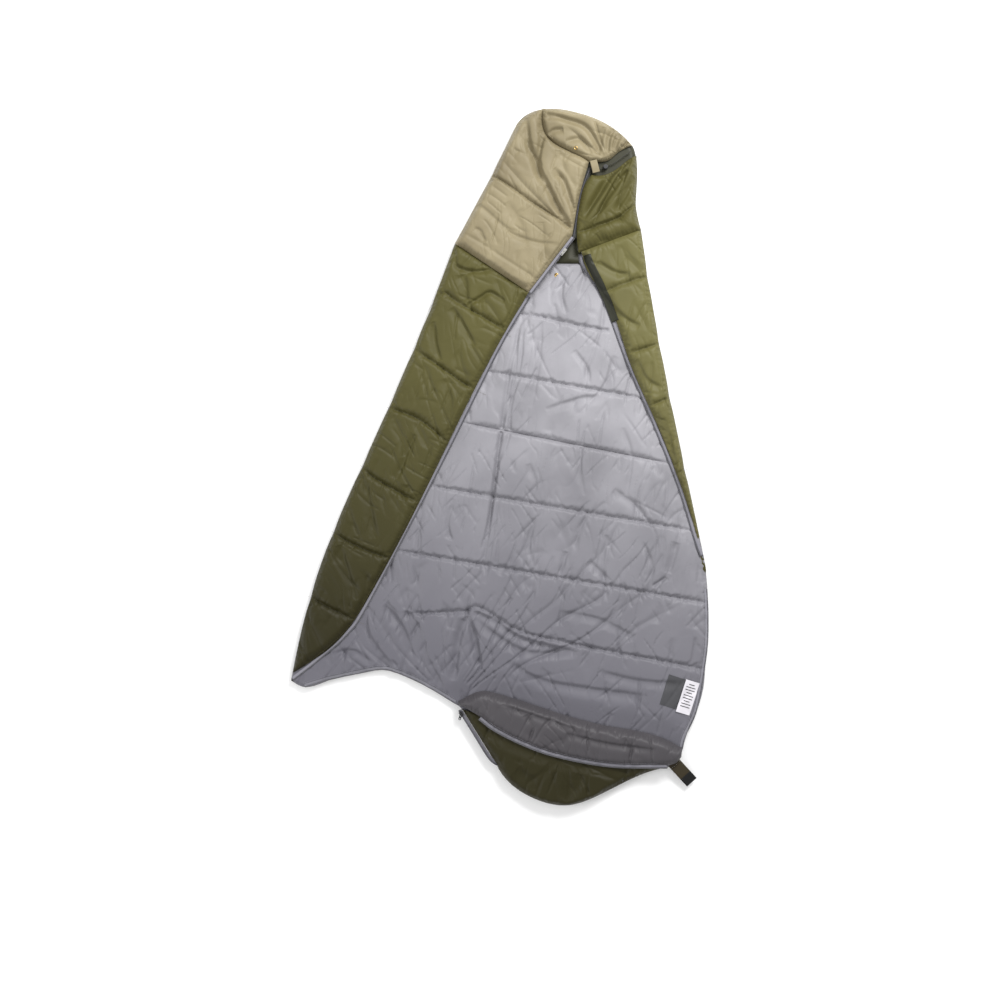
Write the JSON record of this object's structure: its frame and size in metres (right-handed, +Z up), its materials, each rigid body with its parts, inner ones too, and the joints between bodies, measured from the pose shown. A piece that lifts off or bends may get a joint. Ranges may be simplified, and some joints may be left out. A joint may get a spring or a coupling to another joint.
{
  "type": "quilted mummy sleeping bag",
  "caption": "Quilted mummy bag lying on its back, front zip open, with turning front flaps, cinched hood, closed foot, sliders and cord lock.",
  "frame": {"origin": "centre of the bounding box at the surface the bag lies on", "axes": "+Y from the foot to the head, +X to the bag's own left with the lining up, +Z up"},
  "size_m": [1.29, 2.1508, 0.056],
  "materials": {
    "shell_green": "woven nylon, slight sheen",
    "shell_tan": "woven nylon, slight sheen",
    "lining_grey": "downproof taffeta",
    "lining_olive": "downproof taffeta",
    "fill": "polyester wadding",
    "placket_dark": "grosgrain",
    "zip_tape": "woven tape",
    "zip_coil": "nylon coil",
    "slider_silver": "nickel plated",
    "slider_black": "black enamel",
    "black_plastic": "moulded",
    "spring_steel": "drawn wire",
    "brass": "pressed",
    "cord_dark": "braided",
    "strap_brown": "woven webbing",
    "strap_black": "hook tape",
    "patch_grey": "coated cloth",
    "label_white": "printed satin"
  },
  "bodies": {
    "root": {"back_fill": "fill", "back_lining": "lining_grey", "back_shell": "shell_green", "cord_lock_body": "black_plastic", "cord_lock_spring": "spring_steel", "crown_fill": "fill", "crown_shell": "shell_tan", "drawcord": "cord_dark", "drawcord_eyelet": "brass", "foot_front_fill": "fill", "foot_front_lining": "lining_grey", "foot_front_shell": "shell_green", "foot_gusset": "lining_grey", "foot_zip_coil": "zip_coil", "foot_zip_tape": "zip_tape", "hang_strap_anchor": "strap_brown", "hood_gusset": "lining_olive", "hood_lining": "lining_olive", "label_patch": "patch_grey", "lower_left_zip_coil": "zip_coil", "lower_left_zip_tape": "zip_tape", "right_side_zip_coil": "zip_coil", "right_side_zip_tape": "zip_tape", "throat_right_fill": "fill", "throat_right_shell": "shell_green", "throat_snap": "brass", "yoke_left_fill": "fill", "yoke_left_shell": "shell_tan", "yoke_zip_coil": "zip_coil", "yoke_zip_tape": "zip_tape"},
    "left_flap": {"left_front_shell": "shell_green", "left_front_fill": "fill", "left_front_lining": "lining_grey", "left_zip_tape": "zip_tape", "left_zip_coil": "zip_coil"},
    "right_flap": {"right_front_shell": "shell_green", "right_front_fill": "fill", "right_front_lining": "lining_grey", "right_zip_tape": "zip_tape", "right_zip_coil": "zip_coil", "right_placket": "placket_dark"},
    "foot_flap": {"foot_flap_shell": "shell_green", "foot_flap_fill": "fill", "foot_flap_lining": "lining_grey", "foot_flap_zip_tape": "zip_tape", "foot_flap_zip_coil": "zip_coil"},
    "top_slider": {"top_slider": "slider_silver"},
    "top_pull": {"top_pull": "slider_silver"},
    "bottom_slider": {"bottom_slider": "slider_black"},
    "bottom_pull": {"bottom_pull": "slider_black"},
    "cord_lock_button": {"cord_lock_button": "black_plastic"},
    "throat_tab": {"throat_tab": "shell_tan"},
    "hang_strap": {"hang_strap": "strap_brown", "hang_strap_tip": "strap_black"},
    "care_label": {"care_label": "label_white"}
  },
  "joints": [
    {"name": "left_flap_fold", "type": "hinge", "parent": "root", "child": "left_flap", "pos_m": [-0.5458, -0.3029, 0.02225], "axis": [-0.37, -0.929, 0], "range_deg": [0, 175]},
    {"name": "right_flap_fold", "type": "hinge", "parent": "root", "child": "right_flap", "pos_m": [0.5409, 0.165, 0.02225], "axis": [-0.1892, 0.9819, 0], "range_deg": [0, 175]},
    {"name": "foot_flap_fold", "type": "hinge", "parent": "root", "child": "foot_flap", "pos_m": [0.2513, -0.809, 0.04425], "axis": [-0.9638, 0.2665, 0], "range_deg": [0, 165]},
    {"name": "top_slider_run", "type": "slide", "parent": "root", "child": "top_slider", "axis": [-0.6073, -0.7945, 0], "range_m": [0, 0.12]},
    {"name": "top_pull_swing", "type": "hinge", "parent": "top_slider", "child": "top_pull", "pos_m": [0.19843, 0.6332, 0.0513], "axis": [-0.7945, 0.6073, 0], "range_deg": [0, 150]},
    {"name": "bottom_slider_run", "type": "slide", "parent": "root", "child": "bottom_slider", "axis": [0.5282, -0.8491, 0], "range_m": [0, 0.15]},
    {"name": "bottom_pull_swing", "type": "hinge", "parent": "bottom_slider", "child": "bottom_pull", "pos_m": [-0.12015, -0.79247, 0.0333], "axis": [-0.9659, 0.2588, 0], "range_deg": [0, 115]},
    {"name": "cord_lock_press", "type": "slide", "parent": "root", "child": "cord_lock_button", "axis": [0, 0, -1], "range_m": [0, 0.0025], "stiffness_N_per_m": 300, "springref_m": -0.002, "deforming": ["cord_lock_spring"]},
    {"name": "throat_tab_fold", "type": "hinge", "parent": "root", "child": "throat_tab", "pos_m": [0.28, 0.888, 0.0554], "axis": [0.2421, -0.9703, 0], "range_deg": [0, 160]},
    {"name": "hang_strap_fold", "type": "hinge", "parent": "root", "child": "hang_strap", "pos_m": [0.5425, -0.95, 0.0243], "axis": [-0.7384, -0.6744, 0], "range_deg": [0, 85]},
    {"name": "care_label_fold", "type": "hinge", "parent": "root", "child": "care_label", "pos_m": [0.6, -0.748, 0.0242], "axis": [0.309, 0.9511, 0], "range_deg": [0, 160]}
  ]
}
